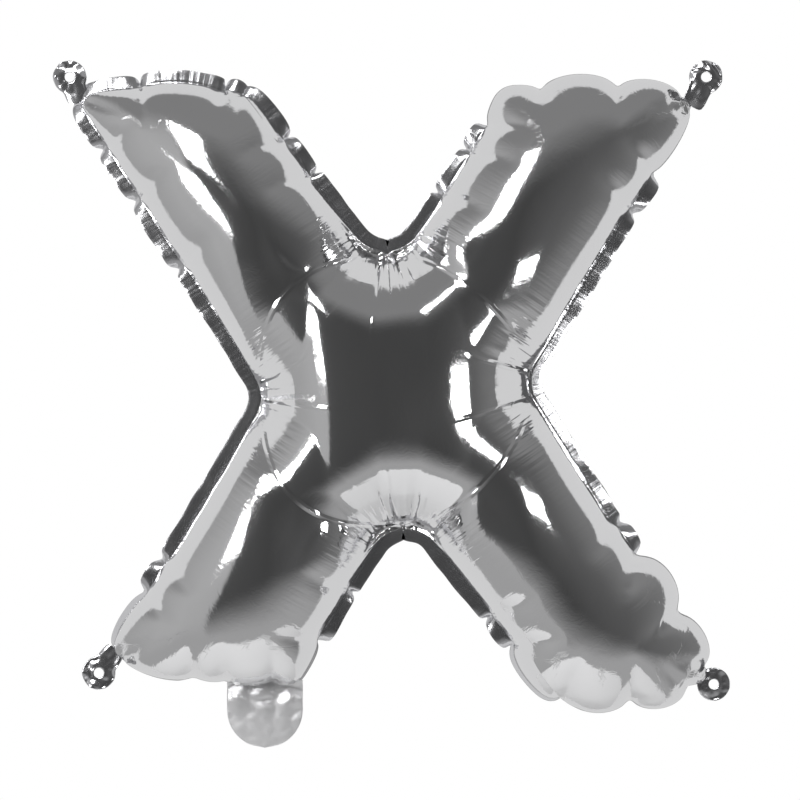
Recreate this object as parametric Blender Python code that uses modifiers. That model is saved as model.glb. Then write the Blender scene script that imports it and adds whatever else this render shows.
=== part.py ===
"""Letter X foil balloon, about 35 cm tall, blown up with air.

Two sheets of metallised film are welded together along an X-shaped seam, which the pressure draws up
into lobes between pinches. The welded margin stands out flat all round, with a holed tab at the tip of
each arm and a flat filling tail under the lower left arm. Metres, +Z up, the front faces -Y. The origin
is halfway between the upper tabs' holes, on the line that a ribbon through them would take.
"""

import math

import bmesh
import bpy
import numpy as np
from mathutils import Matrix, Vector

# Driving dimensions
RIBBON_SPAN = 0.3373
HUB = Vector((0.0037, 0.0, -0.1659))
CROTCH_FROM_HUB = 0.071
HUB_TWIST = math.radians(3.3)
NOTCH_RADIUS = 0.020
TIP_RADIUS = 0.0006
HEEL_RADIUS = 0.0080
END_BOW = 0.004
FULLNESS = 0.92
HUB_LIMIT = 0.056
WEB_REACH = 0.025
CAP_LENGTH = 0.030
FILM_WALL = 0.0012
WELD_HALF = 0.0006
WELD_CLEARANCE = 0.0008
MARGIN_WIDTH = 0.0065
MARGIN_TUCK = 0.0010
SEAM_GAP = 0.0003
TAB_HEAD_RADIUS = 0.0088
TAB_HOLE_RADIUS = 0.0027
TAB_NECK_HALF = 0.0055
TAB_ROOT_HALF = 0.0058
TAB_TUCK = 0.0003
TAB_POINT = 0.0001
TIP_CLEARANCE = 0.0100
CORNER_CLEARANCE = 0.0020
NECK_HALF_WIDTH = 0.0200
NECK_LENGTH = 0.0275
NECK_FILM = 0.0008
VALVE_HALF_WIDTH = 0.0110
VALVE_LENGTH = 0.0165
VALVE_HALF = 0.0004

# Arm ends as seen from the front, from the hub's centre: the tip has the tab, the heel faces the notch
ARM_ENDS = {
    "upper_left": {"tip": (-0.1659, 0.1548), "heel": (-0.0769, 0.1548)},
    "upper_right": {"tip": (0.1590, 0.1537), "heel": (0.0599, 0.1553)},
    "lower_right": {"tip": (0.1640, -0.1500), "heel": (0.0837, -0.1590)},
    "lower_left": {"tip": (-0.1500, -0.1405), "heel": (-0.0550, -0.1540)},
}
# The notch and the corner that each of an arm's two sides runs between, anticlockwise side last
ARM_SIDES = {
    "upper_left": (("left", "tip"), ("top", "heel")),
    "upper_right": (("top", "heel"), ("right", "tip")),
    "lower_right": (("right", "tip"), ("bottom", "heel")),
    "lower_left": (("bottom", "heel"), ("left", "tip")),
}
NOTCHES = ("right", "top", "left", "bottom")
NOTCH_ARMS = {
    "right": ("upper_right", "lower_right"),
    "top": ("upper_left", "upper_right"),
    "left": ("upper_left", "lower_left"),
    "bottom": ("lower_left", "lower_right"),
}
# Where the weld is pinched round each arm, from its first notch to its second, each with the bulge of
# the lobe that follows
PINCHES = {
    "upper_left": (
        (-0.1108, 0.0678, 0.0012), (-0.1309, 0.1060, 0.0016), (-0.1521, 0.1298, 0.0016),
        (-0.1659, 0.1537, 0.0), (-0.1352, 0.1601, 0.0036), (-0.0906, 0.1611, 0.0026),
        (-0.0822, 0.1495, 0.0018), (-0.0625, 0.1314, 0.0010), (-0.0504, 0.1113, 0.0),
    ),
    "upper_right": (
        (0.0302, 0.1007, 0.0006), (0.0450, 0.1245, 0.0012), (0.0535, 0.1383, 0.0062),
        (0.0774, 0.1585, 0.0085), (0.1177, 0.1595, 0.0075), (0.1521, 0.1579, 0.0),
        (0.1585, 0.1473, 0.0045), (0.1320, 0.1177, 0.0014), (0.1219, 0.0981, 0.0),
    ),
    "lower_right": (
        (0.1182, -0.0689, 0.0020), (0.1272, -0.0890, 0.0120), (0.1458, -0.1198, 0.0100),
        (0.1648, -0.1457, 0.0), (0.1542, -0.1579, 0.0095), (0.1240, -0.1606, 0.0100),
        (0.0896, -0.1606, 0.0072), (0.0636, -0.1351, 0.0010), (0.0556, -0.1166, 0.0),
    ),
    "lower_left": (
        (-0.0265, -0.1060, 0.0006), (-0.0408, -0.1325, 0.0040), (-0.0650, -0.1560, 0.0030),
        (-0.0901, -0.1569, 0.0022), (-0.1071, -0.1526, 0.0050), (-0.1452, -0.1473, 0.0),
        (-0.1489, -0.1393, 0.0035), (-0.1320, -0.1092, 0.0014), (-0.1219, -0.0901, 0.0),
    ),
}
TAB_HOLES = {
    "upper_left": (-0.5 * RIBBON_SPAN - HUB.x, -HUB.z),
    "upper_right": (0.5 * RIBBON_SPAN - HUB.x, -HUB.z),
    "lower_right": (0.1690, -0.1560),
    "lower_left": (-0.1570, -0.1500),
}
NECK_TOP = (-0.0689, -0.1625)

# How the film is drawn in at each notch: the slope beside the weld, and the turns in degrees from the
# notch's own direction of the flat facets that meet there
FACETS = {
    "right": (1.35, (-35, 0, 35)),
    "top": (1.20, (-49, -24, 2, 30, 57)),
    "left": (1.30, (-38, 2, 38)),
    "bottom": (1.25, (-56, -24, 0, 24, 54)),
}
# How far the crease round the hub bulges into each arm, anticlockwise from the upper right one
RING_BULGES = (-0.006, 0.004, 0.005, -0.005)

CELLS = 16
ARC_POINTS = 9
FINE_POINTS = 900
FACET_SHARPNESS = 5
HUB_SHARPNESS = 8
ARM_SHARPNESS = 12

FILM_COLOUR = (0.82, 0.82, 0.83, 1.0)
WELD_COLOUR = (0.62, 0.62, 0.64, 1.0)
TAIL_COLOUR = (0.72, 0.72, 0.73, 1.0)
VALVE_COLOUR = (0.86, 0.86, 0.86, 1.0)


def clear_scene():
    for obj in list(bpy.data.objects):
        bpy.data.objects.remove(obj, do_unlink=True)


def make_collection(name):
    collection = bpy.data.collections.new(name)
    bpy.context.scene.collection.children.link(collection)
    return collection


def make_material(name, colour, roughness, metallic):
    material = bpy.data.materials.new(name)
    material.use_nodes = True
    shader = material.node_tree.nodes["Principled BSDF"]
    shader.inputs["Base Color"].default_value = colour
    shader.inputs["Roughness"].default_value = roughness
    shader.inputs["Metallic"].default_value = metallic
    return material


def add_object(name, data, collection, parent, material):
    obj = bpy.data.objects.new(name, data)
    data.materials.append(material)
    collection.objects.link(obj)
    obj.parent = parent
    return obj


def unit(vector):
    return vector / np.linalg.norm(vector)


def notch_bottom(name):
    angle = HUB_TWIST + NOTCHES.index(name) * math.pi / 2
    return CROTCH_FROM_HUB * np.array([math.cos(angle), math.sin(angle)])


def notch_centre(name):
    """Centre of the round at the bottom of a notch."""
    bottom = notch_bottom(name)
    return bottom + unit(bottom) * NOTCH_RADIUS


def corner_arc(before, corner, after, radius):
    """Points of the arc that rounds a corner, from the side of before to the side of after."""
    to_before, to_after = unit(before - corner), unit(after - corner)
    half = 0.5 * math.acos(float(to_before @ to_after))
    centre = corner + unit(to_before + to_after) * radius / math.sin(half)
    start = corner + to_before * radius / math.tan(half) - centre
    stop = corner + to_after * radius / math.tan(half) - centre
    first = math.atan2(start[1], start[0])
    turn = (math.atan2(stop[1], stop[0]) - first + math.pi) % (2 * math.pi) - math.pi
    angles = first + turn * np.linspace(0, 1, ARC_POINTS)
    return centre + radius * np.stack([np.cos(angles), np.sin(angles)], 1)


def notch_half(name, corner, other_corner):
    """The half of a notch's round on the side of a corner, from the notch's bottom outwards."""
    bottom = notch_bottom(name)
    half = 0.5 * math.acos(float(unit(corner - bottom) @ unit(other_corner - bottom)))
    sharp = bottom - unit(bottom) * NOTCH_RADIUS * (1 / math.sin(half) - 1)
    return corner_arc(corner, sharp, other_corner, NOTCH_RADIUS)[ARC_POINTS // 2::-1]


def bowed_line(start, stop):
    """Places between two corner rounds, on a parabola that bulges away from the hub."""
    along = unit(stop - start)
    outward = np.array([-along[1], along[0]])
    if outward @ (start + stop) < 0:
        outward = -outward
    share = np.linspace(0.1, 0.9, ARC_POINTS)[:, None]
    return start + (stop - start) * share + outward * 4 * END_BOW * share * (1 - share)


def plain_seam(arm):
    """The arm's first side, end and second side before the weld is pinched."""
    ends = ARM_ENDS[arm]
    kinds = [kind for _, kind in ARM_SIDES[arm]]
    corners = [np.array(ends[kind]) for kind in kinds]
    middle = 0.5 * (corners[0] + corners[1])
    middle = middle + unit(middle) * END_BOW
    sides, rounds = [], []
    for (notch, kind), corner in zip(ARM_SIDES[arm], corners):
        other_arm = [name for name in NOTCH_ARMS[notch] if name != arm][0]
        root = notch_half(notch, corner, np.array(ARM_ENDS[other_arm][kind]))
        radius = TIP_RADIUS if kind == "tip" else HEEL_RADIUS
        rounding = corner_arc(root[-1], corner, middle, radius)
        sides.append(np.concatenate([root, rounding[: ARC_POINTS // 2 + 1]]))
        rounds.append(rounding[ARC_POINTS // 2:])
    end = np.concatenate([rounds[0], bowed_line(rounds[0][-1], rounds[1][-1]), rounds[1][::-1]])
    return sides[0], end, sides[1]


def run_of(points):
    """Distance along a row of points, at each of them."""
    steps = np.linalg.norm(np.diff(points, axis=0), axis=1)
    return np.concatenate([[0.0], np.cumsum(steps)])


def place_at(values, shares):
    """Values at the given shares of a row of evenly spaced places."""
    spots = np.asarray(shares) * (len(values) - 1)
    return np.stack([np.interp(spots, np.arange(len(values)), column) for column in values.T], 1)


def lobed_seam(arm):
    """The arm's first side, second side and end, each as places with outward directions beside them."""
    first, end, second = plain_seam(arm)
    plain = np.concatenate([first, end[1:-1], second[::-1]])
    run = run_of(plain)
    even = np.linspace(0, run[-1], FINE_POINTS + 1)
    points = np.stack([np.interp(even, run, column) for column in plain.T], 1)
    tangent = np.gradient(points, axis=0)
    normal = np.stack([-tangent[:, 1], tangent[:, 0]], 1)
    normal /= np.linalg.norm(normal, axis=1)[:, None]
    inside = 0.6 * 0.5 * (np.array(ARM_ENDS[arm]["tip"]) + np.array(ARM_ENDS[arm]["heel"]))
    normal *= np.sign(np.sum(normal * (points - inside), 1))[:, None]
    bulge = np.zeros(len(points))
    pinches = PINCHES[arm]
    marks = [even[np.argmin(np.linalg.norm(points - pinch[:2], axis=1))] for pinch in pinches]
    for pinch, start, stop in zip(pinches, marks, marks[1:]):
        share = np.clip((even - start) / (stop - start), 0, 1)
        bulge += pinch[2] * np.sqrt(4 * share * (1 - share))
    seam = np.concatenate([points + normal * bulge[:, None], normal], 1)
    one = int(round(FINE_POINTS * run_of(first)[-1] / run[-1]))
    other = FINE_POINTS - int(round(FINE_POINTS * run_of(second)[-1] / run[-1]))
    return seam[: one + 1], seam[: other - 1: -1], seam[one: other + 1]


def arc_shares():
    """Shares across a tube that are even steps round its skin."""
    return 0.5 - 0.5 * np.cos(math.pi * np.arange(CELLS + 1) / CELLS)


def rows_along(first, second):
    """Shares along an arm's sides at which the film has a row of points, closer where its end rounds off."""
    length = 0.5 * (run_of(first[:, :2])[-1] + run_of(second[:, :2])[-1])
    cell = np.linalg.norm(first[0, :2] - second[0, :2]) / CELLS * math.pi / 2
    straight_rows = int(round((length - CAP_LENGTH) / cell))
    cap_rows = int(round(0.5 * math.pi * CAP_LENGTH / cell))
    straight = np.linspace(0, length - CAP_LENGTH, straight_rows, endpoint=False)
    turns = 0.5 * math.pi * np.arange(cap_rows + 1) / cap_rows
    cap = length - CAP_LENGTH * (1 - np.sin(turns))
    return np.concatenate([straight, cap]) / length


def seam_rows():
    """For each arm, its sides and end at the film's own points: places with outward directions beside them."""
    rows = {}
    for arm in ARM_SIDES:
        first, second, end = lobed_seam(arm)
        shares = rows_along(first, second)
        rows[arm] = place_at(first, shares), place_at(second, shares), place_at(end, arc_shares())
    return rows


def hub_grid():
    """Places of the hub's film, a square patch whose corners are the notches."""
    across, down = (grid[..., None] for grid in np.meshgrid(arc_shares(), arc_shares()))
    upper = (1 - across) * notch_bottom("left") + across * notch_bottom("top")
    lower = (1 - across) * notch_bottom("bottom") + across * notch_bottom("right")
    return (1 - down) * upper + down * lower


def arm_grid(first, second, end):
    """Places of an arm's film, blended from its sides and its end."""
    along = np.clip(run_of(0.5 * (first + second)), 0, None)
    along = (along / along[-1])[:, None, None]
    across = arc_shares()[None, :, None]
    root = first[0] + (second[0] - first[0]) * across
    sides = (1 - across) * first[:, None] + across * second[:, None]
    ends = (1 - along) * root + along * end[None]
    corners = (1 - along) * root + along * (first[-1] + (second[-1] - first[-1]) * across)
    return sides + ends - corners


def film_plan(rows):
    """The film's points from the front, its quads as point numbers, and the numbers of its rim."""
    patch = np.arange((CELLS + 1) ** 2).reshape(CELLS + 1, CELLS + 1)
    roots = {
        "upper_left": patch[0], "upper_right": patch[:, CELLS],
        "lower_right": patch[CELLS, ::-1], "lower_left": patch[::-1, 0],
    }
    plan = [hub_grid().reshape(-1, 2)]
    quads = [quads_of(patch)]
    rim = []
    count = patch.size
    for arm, (first, second, end) in rows.items():
        grid = arm_grid(first[:, :2], second[:, :2], end[:, :2])[1:]
        added = count + np.arange(grid.shape[0] * grid.shape[1]).reshape(grid.shape[:2])
        sheet = np.concatenate([roots[arm][None], added])
        plan.append(grid.reshape(-1, 2))
        quads.append(quads_of(sheet))
        rim += [sheet[:, 0], sheet[:, -1], sheet[-1]]
        count += added.size
    return np.concatenate(plan), np.concatenate(quads), np.unique(np.concatenate(rim))


def quads_of(numbers):
    corners = [numbers[:-1, :-1], numbers[:-1, 1:], numbers[1:, 1:], numbers[1:, :-1]]
    return np.stack(corners, -1).reshape(-1, 4)


def membrane(plan, quads, rim):
    """Rise of a skin under even pressure over the plan, held down at its rim."""
    triangles = np.concatenate([quads[:, [0, 1, 2]], quads[:, [0, 2, 3]]])
    stiffness = np.zeros((len(plan), len(plan)))
    load = np.zeros(len(plan))
    for first, second, third in ((0, 1, 2), (1, 2, 0), (2, 0, 1)):
        low, high, tip = triangles[:, first], triangles[:, second], triangles[:, third]
        one, other = plan[low] - plan[tip], plan[high] - plan[tip]
        twice_area = np.abs(one[:, 0] * other[:, 1] - one[:, 1] * other[:, 0])
        pull = 0.5 * np.sum(one * other, 1) / twice_area
        for row, column, sign in ((low, high, -1), (high, low, -1), (low, low, 1), (high, high, 1)):
            np.add.at(stiffness, (row, column), sign * pull)
        np.add.at(load, tip, twice_area / 6)
    stiffness[rim] = 0.0
    stiffness[rim, rim] = 1.0
    load[rim] = 0.0
    return np.maximum(np.linalg.solve(stiffness, load), 0.0)


def lesser(one, other, sharpness):
    """The smaller of two heights, with the change from one to the other rounded off."""
    one, other = np.maximum(one, 1e-9), np.maximum(other, 1e-9)
    return one * (1 + (one / other) ** sharpness) ** (-1 / sharpness)


def off_notch(plan, name):
    """Distance off a notch's weld, measured square to the facets that meet there."""
    bottom = notch_bottom(name)
    turns = math.atan2(-bottom[1], -bottom[0]) + np.radians(FACETS[name][1])
    ways = np.stack([np.cos(turns), np.sin(turns)])
    return np.maximum(np.max((plan - notch_centre(name)) @ ways, axis=1) - NOTCH_RADIUS, 0.0)


def outside_ring(plan):
    """Distance outwards from the crease that runs from notch to notch round the hub."""
    angle = np.arctan2(plan[:, 1], plan[:, 0]) - HUB_TWIST
    quarter = np.floor(angle / (0.5 * math.pi)).astype(int) % 4
    ring = CROTCH_FROM_HUB + np.array(RING_BULGES)[quarter] * np.sin(2 * angle) ** 2
    return np.maximum(np.linalg.norm(plan, axis=1) - ring, 0.0)


def blown_up(plan, quads, rim):
    """Depth of the film at each point: a round tube's along the arms, drawn in at the notches."""
    depth = FULLNESS * np.sqrt(2 * membrane(plan, quads, rim))
    outside = outside_ring(plan)
    narrowing = 1 + outside / WEB_REACH
    web = np.full(len(plan), 1.0)
    clearance = np.full(len(plan), WELD_HALF + WELD_CLEARANCE)
    for name, (slope, _) in FACETS.items():
        off = off_notch(plan, name) * narrowing + 0.1 * outside
        web = lesser(web, lesser(slope * off, HUB_LIMIT, FACET_SHARPNESS), HUB_SHARPNESS)
        away = np.linalg.norm(plan - notch_centre(name), axis=1) / NOTCH_RADIUS - 1
        clearance += FILM_WALL * np.exp(-away ** 2)
    depth = lesser(depth, web + 0.3 * outside ** 2 / WEB_REACH, ARM_SHARPNESS)
    return np.hypot(depth, clearance)


def film_mesh(front, rows):
    """One film as an open skin that bulges away from the seam's plane."""
    plan, quads, rim = film_plan(rows)
    depth = blown_up(plan, quads, rim)
    facing = -1.0 if front else 1.0
    skin = bmesh.new()
    spots = [skin.verts.new((x, facing * rise, z)) for (x, z), rise in zip(plan.tolist(), depth.tolist())]
    for quad in quads.tolist():
        skin.faces.new([spots[number] for number in quad])
    bmesh.ops.recalc_face_normals(skin, faces=skin.faces)
    crown = max(skin.faces, key=lambda face: facing * face.calc_center_median().y)
    if crown.normal.y * facing < 0:
        bmesh.ops.reverse_faces(skin, faces=skin.faces)
    return skin


def thicken(obj, thickness, offset):
    wall = obj.modifiers.new("Wall", "SOLIDIFY")
    wall.thickness = thickness
    wall.offset = offset
    wall.use_even_offset = False


def make_film(name, front, rows, collection, parent, material):
    mesh = bpy.data.meshes.new(name)
    skin = film_mesh(front, rows)
    skin.to_mesh(mesh)
    skin.free()
    mesh.shade_smooth()
    film = add_object(name, mesh, collection, parent, material)
    thicken(film, FILM_WALL, -1.0)
    return film


def shortened(seam, from_start, from_end):
    """A row of seam places with the given lengths taken off its ends."""
    run = run_of(seam[:, :2])
    start, stop = from_start, run[-1] - from_end
    kept = run[(run > start + SEAM_GAP) & (run < stop - SEAM_GAP)]
    places = np.concatenate([[start], kept, [stop]])
    return np.stack([np.interp(places, run, column) for column in seam.T], 1)


def make_weld(name, seam, collection, parent, material):
    """A flat stretch of the welded margin along a row of seam places."""
    points, normals = seam[:, :2], seam[:, 2:]
    normals = normals / np.linalg.norm(normals, axis=1)[:, None]
    band = bmesh.new()
    inner, outer = (
        [band.verts.new((x, 0.0, z)) for x, z in (points + normals * reach).tolist()]
        for reach in (-MARGIN_TUCK, MARGIN_WIDTH)
    )
    for i in range(len(points) - 1):
        band.faces.new((inner[i], inner[i + 1], outer[i + 1], outer[i]))
    bmesh.ops.recalc_face_normals(band, faces=band.faces)
    mesh = bpy.data.meshes.new(name)
    band.to_mesh(mesh)
    band.free()
    weld = add_object(name, mesh, collection, parent, material)
    thicken(weld, 2 * WELD_HALF, 0.0)
    return weld


def make_side_weld(arm, kind, seam, collection, parent, material):
    """The margin from the bottom of a notch to short of the tip or the heel."""
    seam = shortened(seam, 0.0, TIP_CLEARANCE if kind == "tip" else CORNER_CLEARANCE)
    into_notch = unit(seam[0, :2])
    across = np.array([-into_notch[1], into_notch[0]])
    if across @ (seam[1, :2] - seam[0, :2]) < 0:
        across = -across
    seam[0, :2] += across * SEAM_GAP
    seam[0, 2:] = into_notch
    side = "outer" if kind == "tip" else "inner"
    return make_weld(f"seam_{arm}_{side}", seam, collection, parent, material)


def make_end_weld(arm, seam, collection, parent, material):
    clearances = [TIP_CLEARANCE if kind == "tip" else CORNER_CLEARANCE for _, kind in ARM_SIDES[arm]]
    return make_weld(f"seam_{arm}_end", shortened(seam, *clearances), collection, parent, material)


def flat_piece(name, loops, half_thickness, depth, collection, parent, material):
    """A flat piece standing in the seam's plane, from closed outlines of which the later ones are holes."""
    curve = bpy.data.curves.new(name, "CURVE")
    curve.dimensions = "2D"
    curve.fill_mode = "BOTH"
    curve.extrude = half_thickness
    for loop in loops:
        spline = curve.splines.new("POLY")
        spline.points.add(len(loop) - 1)
        for point, spot in zip(spline.points, loop):
            point.co = (spot.x, spot.y, 0.0, 1.0)
        spline.use_cyclic_u = True
    piece = add_object(name, curve, collection, parent, material)
    piece.matrix_local = Matrix.Translation((0.0, depth, 0.0)) @ Matrix.Rotation(math.pi / 2, 4, "X")
    return piece


def arc(centre, radius, start, end, steps):
    turns = [start + (end - start) * step / steps for step in range(steps + 1)]
    return [centre + Vector((math.cos(turn), math.sin(turn))) * radius for turn in turns]


def make_tab(arm, collection, parent, material):
    """A round-headed tab on the tip of an arm, with a ribbon hole."""
    hole = Vector(TAB_HOLES[arm])
    tip = Vector(ARM_ENDS[arm]["tip"])
    heel = Vector(ARM_ENDS[arm]["heel"])
    root = tip + (0.5 * (tip + heel) * 0.9 - tip).normalized() * TAB_TUCK
    inward = (root - hole).normalized()
    across = Vector((-inward.y, inward.x))
    heading = math.atan2(inward.y, inward.x)
    opening = math.asin(TAB_NECK_HALF / TAB_HEAD_RADIUS)
    head = arc(hole, TAB_HEAD_RADIUS, heading + opening, heading + 2 * math.pi - opening, 20)
    outline = head + [root - across * TAB_ROOT_HALF, root + inward * TAB_POINT, root + across * TAB_ROOT_HALF]
    ring = arc(hole, TAB_HOLE_RADIUS, 0.0, 2 * math.pi, 16)[:-1]
    return flat_piece(f"hanging_tab_{arm}", [outline, ring], WELD_HALF, 0.0, collection, parent, material)


def tongue(half_width, length):
    """A flat tongue hanging from the tail's top, with a half-round lower end."""
    top = Vector(NECK_TOP)
    centre = top - Vector((0.0, length - half_width))
    lower = arc(centre, half_width, math.pi, 2 * math.pi, 20)
    return lower + [top + Vector((half_width, 0.0)), top - Vector((half_width, 0.0))]


def make_tail(collection, parent, film_material, valve_material):
    depth = WELD_HALF + SEAM_GAP + 0.5 * NECK_FILM
    outline = tongue(NECK_HALF_WIDTH, NECK_LENGTH)
    flat_piece("neck_front", [outline], 0.5 * NECK_FILM, -depth, collection, parent, film_material)
    flat_piece("neck_back", [outline], 0.5 * NECK_FILM, depth, collection, parent, film_material)
    sleeve = tongue(VALVE_HALF_WIDTH, VALVE_LENGTH)
    low = Vector((0.0, -(MARGIN_WIDTH + SEAM_GAP)))
    sleeve = [spot + low for spot in sleeve]
    flat_piece("valve_sleeve", [sleeve], VALVE_HALF, 0.0, collection, parent, valve_material)


def build():
    clear_scene()
    collection = make_collection("letter_foil_balloon")
    hub = bpy.data.objects.new("hub_centre", None)
    collection.objects.link(hub)
    hub.location = HUB
    film = make_material("Metallised film", FILM_COLOUR, 0.08, 1.0)
    weld = make_material("Welded margin", WELD_COLOUR, 0.22, 1.0)
    tail = make_material("Tail film", TAIL_COLOUR, 0.30, 0.9)
    sleeve = make_material("Valve film", VALVE_COLOUR, 0.40, 0.0)
    rows = seam_rows()
    make_film("front_film", True, rows, collection, hub, film)
    make_film("back_film", False, rows, collection, hub, film)
    for arm, (first, second, end) in rows.items():
        for (_, kind), seam in zip(ARM_SIDES[arm], (first, second)):
            make_side_weld(arm, kind, seam, collection, hub, weld)
        make_end_weld(arm, end, collection, hub, weld)
        make_tab(arm, collection, hub, weld)
    make_tail(collection, hub, tail, sleeve)


build()
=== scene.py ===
import math

import bpy
import numpy as np
from bpy.props import FloatProperty, FloatVectorProperty, IntProperty, PointerProperty
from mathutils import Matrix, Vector, noise


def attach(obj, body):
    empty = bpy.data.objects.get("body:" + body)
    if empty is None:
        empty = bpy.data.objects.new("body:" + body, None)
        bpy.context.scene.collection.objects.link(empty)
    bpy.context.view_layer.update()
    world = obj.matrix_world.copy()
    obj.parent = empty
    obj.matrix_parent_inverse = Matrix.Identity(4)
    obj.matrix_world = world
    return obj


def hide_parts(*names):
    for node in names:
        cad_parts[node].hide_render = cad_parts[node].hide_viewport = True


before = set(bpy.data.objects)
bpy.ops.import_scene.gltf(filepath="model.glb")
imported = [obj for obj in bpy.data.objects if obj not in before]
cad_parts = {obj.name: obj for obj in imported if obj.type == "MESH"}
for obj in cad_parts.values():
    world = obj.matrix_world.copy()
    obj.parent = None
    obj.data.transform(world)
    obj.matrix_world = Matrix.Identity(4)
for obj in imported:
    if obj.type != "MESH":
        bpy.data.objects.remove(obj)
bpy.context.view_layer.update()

bl_info = {
    "name": "Letter Foil Balloon",
    "version": (1, 0, 0),
    "blender": (4, 5, 0),
    "location": "3D View > Sidebar > Foil Balloon",
    "description": "Cuts, inflates and finishes an X-shaped foil letter balloon",
    "category": "Object",
}

BODY = "root"

# Which notch and which corner each side of an arm runs between, in the order the seam takes
ARMS = {
    "upper_left": (("left", "tip"), ("top", "heel")),
    "upper_right": (("top", "heel"), ("right", "tip")),
    "lower_right": (("right", "tip"), ("bottom", "heel")),
    "lower_left": (("bottom", "heel"), ("left", "tip")),
}
NOTCHES = ("right", "top", "left", "bottom")
# The arm on the other side of each of an arm's notches
NEIGHBOURS = {
    (notch, arm): other
    for arm, sides in ARMS.items() for notch, _ in sides
    for other, others in ARMS.items() if other != arm and notch in dict(others)
}
# Where the weld is pinched round each arm, as places from the hub's centre in the seam's order, each with
# the bulge of the lobe that follows and how its margin lies: 1 flat outwards, 0 folded behind the film
PINCHES = {
    "upper_left": (
        (-0.1108, 0.0678, 0.0012, 1.0), (-0.1309, 0.1060, 0.0016, 1.0), (-0.1521, 0.1298, 0.0016, 1.0),
        (-0.1659, 0.1537, 0.0012, 0.9), (-0.1352, 0.1601, 0.0036, 1.0), (-0.0906, 0.1611, 0.0026, 1.0),
        (-0.0822, 0.1495, 0.0018, 1.0), (-0.0625, 0.1314, 0.0010, 1.0), (-0.0504, 0.1113, 0.0, 1.0),
    ),
    "upper_right": (
        (0.0302, 0.1007, 0.0006, 1.0), (0.0450, 0.1245, 0.0012, 1.0), (0.0535, 0.1383, 0.0062, 0.0),
        (0.0774, 0.1585, 0.0085, 0.0), (0.1177, 0.1595, 0.0075, 0.0), (0.1521, 0.1579, 0.0015, 0.3),
        (0.1585, 0.1473, 0.0045, 0.0), (0.1320, 0.1177, 0.0014, 1.0), (0.1219, 0.0981, 0.0, 1.0),
    ),
    "lower_right": (
        (0.1182, -0.0689, 0.0020, 1.0), (0.1272, -0.0890, 0.0120, 0.0), (0.1458, -0.1198, 0.0100, 0.0),
        (0.1648, -0.1457, 0.0010, 0.0), (0.1542, -0.1579, 0.0095, 0.0), (0.1240, -0.1606, 0.0100, 0.2),
        (0.0896, -0.1606, 0.0072, 0.4), (0.0636, -0.1351, 0.0010, 1.0), (0.0556, -0.1166, 0.0, 1.0),
    ),
    "lower_left": (
        (-0.0265, -0.1060, 0.0006, 1.0), (-0.0408, -0.1325, 0.0040, 0.3), (-0.0650, -0.1560, 0.0030, 0.0),
        (-0.0901, -0.1569, 0.0022, 0.0), (-0.1071, -0.1526, 0.0050, 0.3), (-0.1452, -0.1473, 0.0008, 0.0),
        (-0.1489, -0.1393, 0.0035, 0.5), (-0.1320, -0.1092, 0.0014, 1.0), (-0.1219, -0.0901, 0.0, 1.0),
    ),
}
TINY = 1e-9
ARC_POINTS = 33
# Shares of the way across an arm's end between which it is bowed
BOW_SPAN = (0.1, 0.9)
FINE_POINTS = 900
# Share of an arm's length, from the hub's centre, at a place that lies well inside it
ARM_MIDDLE = 0.6
# Which part of the noise each piece takes its dents or creases from, so that no two are alike
SEEDS = {"front_film": 2.0, "back_film": 7.0, "ripple": 4.5, "width": 9.5, "tabs": 3.0, "neck": 11.0}
# Long folds that run from the notches over the hub, as places from the hub's centre
FOLDS = (
    ((-0.0064, 0.0705), (-0.0095, 0.0450), (-0.0122, 0.0239)),
    ((-0.0011, 0.0705), (0.0069, 0.0440)),
    ((-0.0689, 0.0053), (-0.0514, 0.0122), (-0.0387, 0.0196)),
    ((-0.0663, -0.0053), (-0.0254, -0.0111)),
    ((0.0700, 0.0095), (0.0424, 0.0159), (0.0292, 0.0239)),
    ((0.0663, -0.0064), (0.0265, -0.0170)),
    ((0.0000, -0.0663), (-0.0053, -0.0355)),
)


def length_setting(name, description, default):
    return FloatProperty(name=name, description=description, default=default, unit="LENGTH")


def place_setting(name, description, default, **more):
    """A setting of several lengths, such as a place in the plan."""
    return FloatVectorProperty(
        name=name, description=description, default=default, size=len(default), unit="LENGTH", **more,
    )


def angle_setting(name, description, degrees):
    return FloatProperty(name=name, description=description, default=math.radians(degrees), subtype="ANGLE")


def number_setting(name, description, default):
    return FloatProperty(name=name, description=description, default=default)


def count_setting(name, description, default, least):
    return IntProperty(name=name, description=description, default=default, min=least)


def colour_setting(name, description, default):
    return FloatVectorProperty(name=name, description=description, default=default, size=4, subtype="COLOR")


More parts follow.
